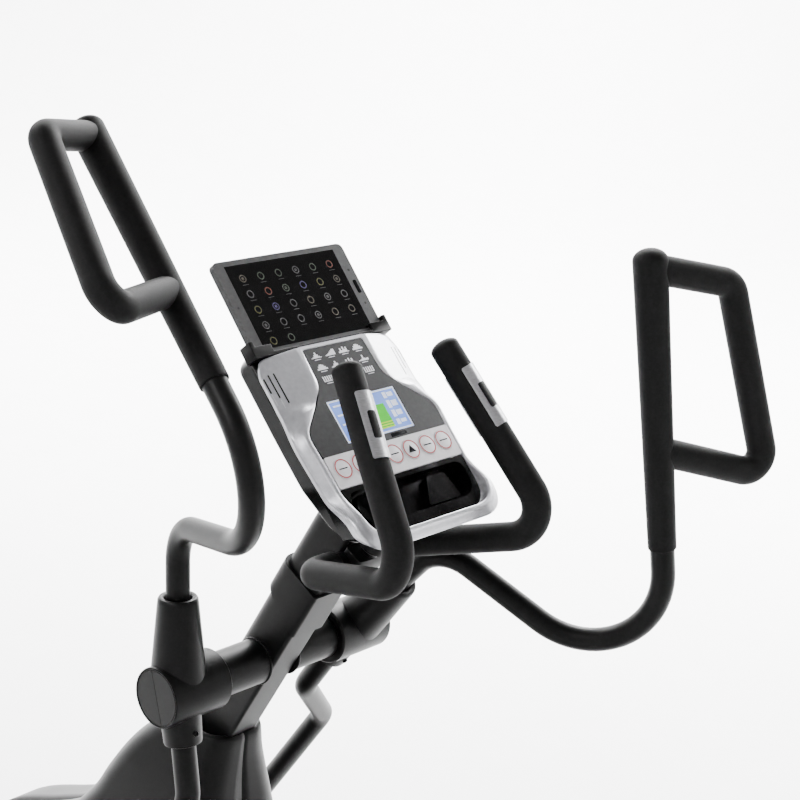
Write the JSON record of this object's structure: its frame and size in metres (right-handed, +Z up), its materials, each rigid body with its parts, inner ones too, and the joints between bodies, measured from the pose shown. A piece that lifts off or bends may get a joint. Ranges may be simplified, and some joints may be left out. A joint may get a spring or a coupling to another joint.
{
  "type": "elliptical trainer",
  "caption": "Front-drive elliptical trainer with swinging D-loop handlebars, foot rails on rollers, crank and flywheel in a shroud, and a tilted console with a tablet ledge",
  "frame": {"origin": "on the floor under the middle of the bounding box", "axes": "X is the user's right, +Y the way the user faces, +Z up"},
  "size_m": [0.753, 1.97, 1.6885],
  "materials": {
    "black_paint": "satin black powder coat",
    "black_plastic": "finely textured black moulding",
    "gloss_black": "polished black moulding",
    "foam": "closed-cell foam, matte and finely pitted",
    "silver_plastic": "silver paint with a soft sheen",
    "charcoal_print": "printed charcoal face film",
    "lcd": "backlit blue display",
    "key_white": "white keys with red rings",
    "steel": "brushed",
    "cast_iron": "machined cast iron",
    "rubber": "matte rubber",
    "board": "circuit board laminate",
    "tablet_case": "black glass front in a dark grey case"
  },
  "bodies": {
    "frame": {"main_frame": "black_paint", "front_stabilizer": "black_paint", "rear_stabilizer": "black_paint", "track_left": "steel", "track_right": "steel", "drive_belt": "rubber", "brake_magnet": "steel", "shroud_left": "black_plastic", "shroud_right": "black_plastic", "mast": "black_paint", "pivot_axle": "steel", "mast_collar": "black_plastic", "handlebar_fixed": "black_paint", "handlebar_clamp": "black_plastic", "fixed_grip_left": "foam", "fixed_grip_right": "foam", "pulse_sensor_left": "steel", "pulse_sensor_right": "steel", "console_rear_shell": "gloss_black", "console_bezel": "silver_plastic", "console_panel": "charcoal_print", "console_lcd": "lcd", "console_strip": "silver_plastic", "console_tray": "gloss_black", "console_board": "board", "tablet_ledge": "black_plastic"},
    "crank": {"crank_axle": "steel", "crank_disc_left": "gloss_black", "crank_disc_right": "gloss_black", "drive_pulley": "black_plastic"},
    "flywheel_set": {"flywheel": "cast_iron", "flywheel_shaft": "steel"},
    "left_arm": {"arm_lower_left": "black_paint", "arm_cover_left": "black_plastic", "arm_upper_left": "black_paint", "arm_grip_left": "foam"},
    "left_link": {"link_left": "black_paint"},
    "left_rail": {"rail_left": "black_paint", "pedal_left": "black_plastic"},
    "left_roller": {"roller_left": "black_plastic"},
    "left_transport_wheel": {"transport_wheel_left": "rubber"},
    "right_arm": {"arm_lower_right": "black_paint", "arm_cover_right": "black_plastic", "arm_upper_right": "black_paint", "arm_grip_right": "foam"},
    "right_link": {"link_right": "black_paint"},
    "right_rail": {"rail_right": "black_paint", "pedal_right": "black_plastic"},
    "right_roller": {"roller_right": "black_plastic"},
    "right_transport_wheel": {"transport_wheel_right": "rubber"},
    "tablet": {"tablet": "tablet_case"},
    "clamp_knob": {"clamp_knob": "black_plastic"},
    "key_1": {"key_1": "key_white"},
    "key_2": {"key_2": "key_white"},
    "key_3": {"key_3": "key_white"},
    "key_4": {"key_4": "key_white"},
    "key_5": {"key_5": "key_white"},
    "key_6": {"key_6": "key_white"},
    "key_7": {"key_7": "key_white"}
  },
  "joints": [
    {"name": "crank_spin", "type": "hinge", "parent": "frame", "child": "crank", "pos_m": [0, 0.485, 0.365], "axis": [1, 0, 0], "continuous": true},
    {"name": "flywheel_spin", "type": "hinge", "parent": "frame", "child": "flywheel_set", "pos_m": [0, 0.755, 0.3], "axis": [1, 0, 0], "continuous": true},
    {"name": "left_arm_swing", "type": "hinge", "parent": "frame", "child": "left_arm", "pos_m": [-0.15, 0.345, 1.02], "axis": [1, 0, 0], "range_deg": [0, 44.5]},
    {"name": "left_link_turn", "type": "hinge", "parent": "left_arm", "child": "left_link", "pos_m": [-0.1875, 0.17929, 0.41218], "axis": [1, 0, 0], "range_deg": [-30.59, 0]},
    {"name": "left_rail_slide", "type": "slide", "parent": "frame", "child": "left_rail", "axis": [0, 1, 0], "range_m": [0, 0.4762]},
    {"name": "left_roller_spin", "type": "hinge", "parent": "left_rail", "child": "left_roller", "pos_m": [-0.143, -0.883, 0.155], "axis": [1, 0, 0], "range_deg": [-779.72, 0]},
    {"name": "left_transport_wheel_spin", "type": "hinge", "parent": "frame", "child": "left_transport_wheel", "pos_m": [-0.2125, 0.957, 0.042], "axis": [1, 0, 0], "continuous": true},
    {"name": "right_arm_swing", "type": "hinge", "parent": "frame", "child": "right_arm", "pos_m": [0.15, 0.345, 1.02], "axis": [1, 0, 0], "range_deg": [-44.52, 0]},
    {"name": "right_link_turn", "type": "hinge", "parent": "right_arm", "child": "right_link", "pos_m": [0.1875, 0.65283, 0.47033], "axis": [1, 0, 0], "range_deg": [0, 30.59]},
    {"name": "right_rail_slide", "type": "slide", "parent": "frame", "child": "right_rail", "axis": [0, 1, 0], "range_m": [-0.4762, 0]},
    {"name": "right_roller_spin", "type": "hinge", "parent": "right_rail", "child": "right_roller", "pos_m": [0.143, -0.407, 0.155], "axis": [1, 0, 0], "range_deg": [0, 779.72]},
    {"name": "right_transport_wheel_spin", "type": "hinge", "parent": "frame", "child": "right_transport_wheel", "pos_m": [0.2125, 0.957, 0.042], "axis": [1, 0, 0], "continuous": true},
    {"name": "tablet_lift", "type": "slide", "parent": "frame", "child": "tablet", "axis": [0, 0.729, 0.6845], "range_m": [0, 0.14]},
    {"name": "clamp_knob_turn", "type": "hinge", "parent": "frame", "child": "clamp_knob", "pos_m": [0, 0.1982, 1.23716], "axis": [0, -0.4179, 0.9085], "range_deg": [0, 720]},
    {"name": "key_1_press", "type": "slide", "parent": "frame", "child": "key_1", "axis": [0, 0.6455, -0.7638], "range_m": [0, 0.0012], "stiffness_N_per_m": 400, "springref_m": -0.0004},
    {"name": "key_2_press", "type": "slide", "parent": "frame", "child": "key_2", "axis": [0, 0.6455, -0.7638], "range_m": [0, 0.0012], "stiffness_N_per_m": 400, "springref_m": -0.0004},
    {"name": "key_3_press", "type": "slide", "parent": "frame", "child": "key_3", "axis": [0, 0.6455, -0.7638], "range_m": [0, 0.0012], "stiffness_N_per_m": 400, "springref_m": -0.0004},
    {"name": "key_4_press", "type": "slide", "parent": "frame", "child": "key_4", "axis": [0, 0.6455, -0.7638], "range_m": [0, 0.0012], "stiffness_N_per_m": 400, "springref_m": -0.0004},
    {"name": "key_5_press", "type": "slide", "parent": "frame", "child": "key_5", "axis": [0, 0.6455, -0.7638], "range_m": [0, 0.0012], "stiffness_N_per_m": 400, "springref_m": -0.0004},
    {"name": "key_6_press", "type": "slide", "parent": "frame", "child": "key_6", "axis": [0, 0.6455, -0.7638], "range_m": [0, 0.0012], "stiffness_N_per_m": 400, "springref_m": -0.0004},
    {"name": "key_7_press", "type": "slide", "parent": "frame", "child": "key_7", "axis": [0, 0.6455, -0.7638], "range_m": [0, 0.0012], "stiffness_N_per_m": 400, "springref_m": -0.0004}
  ],
  "couplings": [
    {"joint": "flywheel_spin", "follows": "crank_spin", "ratio": 5},
    {"joint": "left_link_turn", "follows": "left_arm_swing", "ratio": -0.68708},
    {"joint": "left_rail_slide", "follows": "left_arm_swing", "m_per_rad": 0.61287},
    {"joint": "left_roller_spin", "follows": "left_arm_swing", "ratio": -17.511},
    {"joint": "right_arm_swing", "follows": "left_arm_swing", "ratio": -1},
    {"joint": "right_link_turn", "follows": "left_arm_swing", "ratio": 0.68708},
    {"joint": "right_rail_slide", "follows": "left_arm_swing", "m_per_rad": -0.61287},
    {"joint": "right_roller_spin", "follows": "left_arm_swing", "ratio": 17.511}
  ]
}
